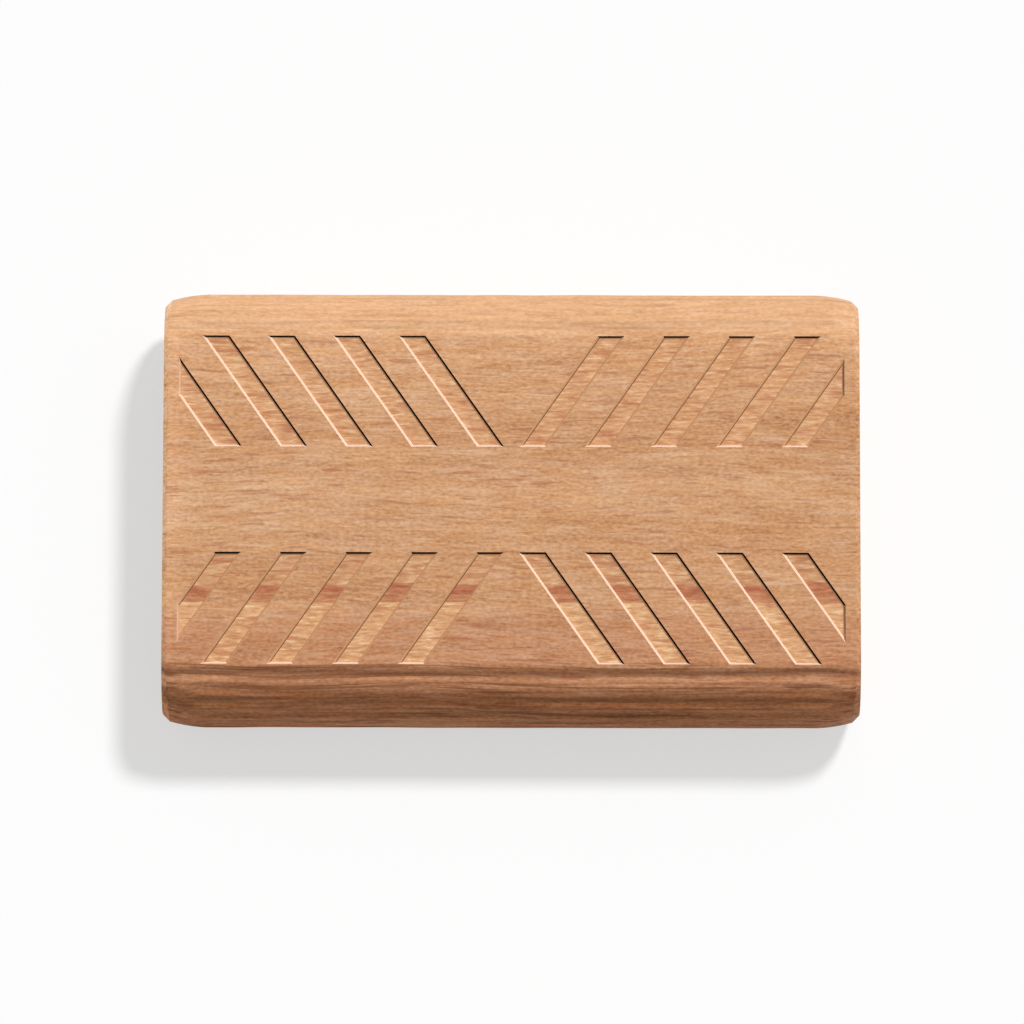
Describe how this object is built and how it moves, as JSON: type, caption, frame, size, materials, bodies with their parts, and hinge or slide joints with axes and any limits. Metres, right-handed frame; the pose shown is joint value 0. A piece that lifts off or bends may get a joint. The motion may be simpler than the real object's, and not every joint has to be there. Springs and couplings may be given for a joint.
{
  "type": "loose tenon",
  "caption": "Loose tenon: a flat beech key with fluted round edges, eased ends and slanted glue pockets in both broad faces, which joins two boards edge to edge or end to edge.",
  "frame": {"origin": "middle of the tenon: on the joint line, halfway along the length, the width and the thickness", "axes": "+X along the grain and the length, +Y across the width, +Z out of the upper glue face"},
  "size_m": [0.03, 0.019, 0.005],
  "materials": {
    "beech": "planed and pressed beech, unfinished, with fine grain along the length and a low sheen"
  },
  "bodies": {
    "root": {"tenon": "beech"}
  },
  "joints": []
}
